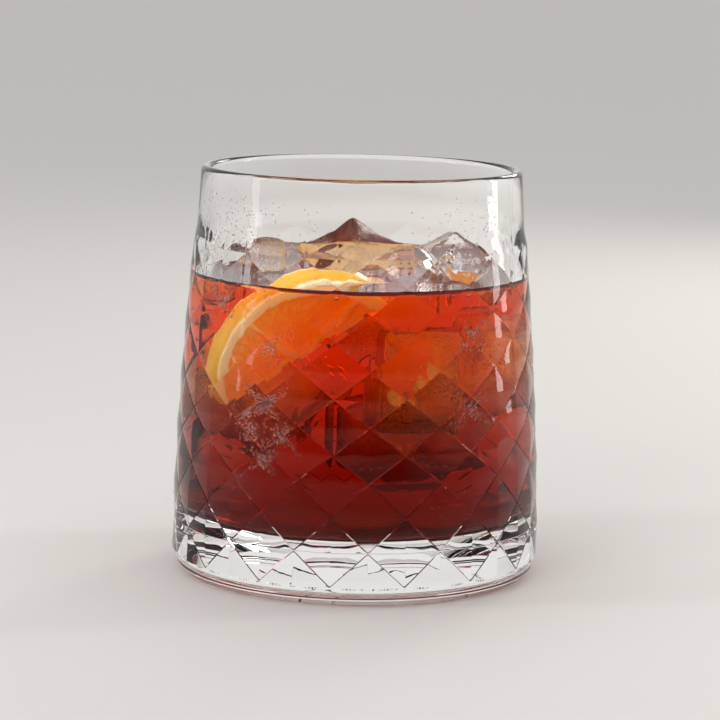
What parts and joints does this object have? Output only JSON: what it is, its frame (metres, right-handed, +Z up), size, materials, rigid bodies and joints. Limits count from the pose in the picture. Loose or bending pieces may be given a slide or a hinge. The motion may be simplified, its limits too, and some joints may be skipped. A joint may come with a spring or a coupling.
{
  "type": "negroni in a tumbler",
  "caption": "Orange-red iced drink in a heavy cut-glass tumbler with a diamond relief, garnished with a half wheel of orange.",
  "frame": {"origin": "centre of the tumbler's foot, on the plane it stands on", "axes": "+Z up along the tumbler's axis, -Y towards the drinker, the cut face of the orange facing -Y"},
  "size_m": [0.0866, 0.0866, 0.095],
  "materials": {
    "tumbler_glass": "clear pressed glass, fire polished",
    "drink_liquid": "clear deep orange-red liquid",
    "orange_flesh": "moist orange flesh, cream pith and a yellow-orange rind",
    "ice": "clear wet ice"
  },
  "bodies": {
    "root": {"tumbler": "tumbler_glass", "drink": "drink_liquid", "orange_slice": "orange_flesh", "ice_peak": "ice", "ice_right": "ice", "ice_left": "ice"}
  },
  "joints": []
}
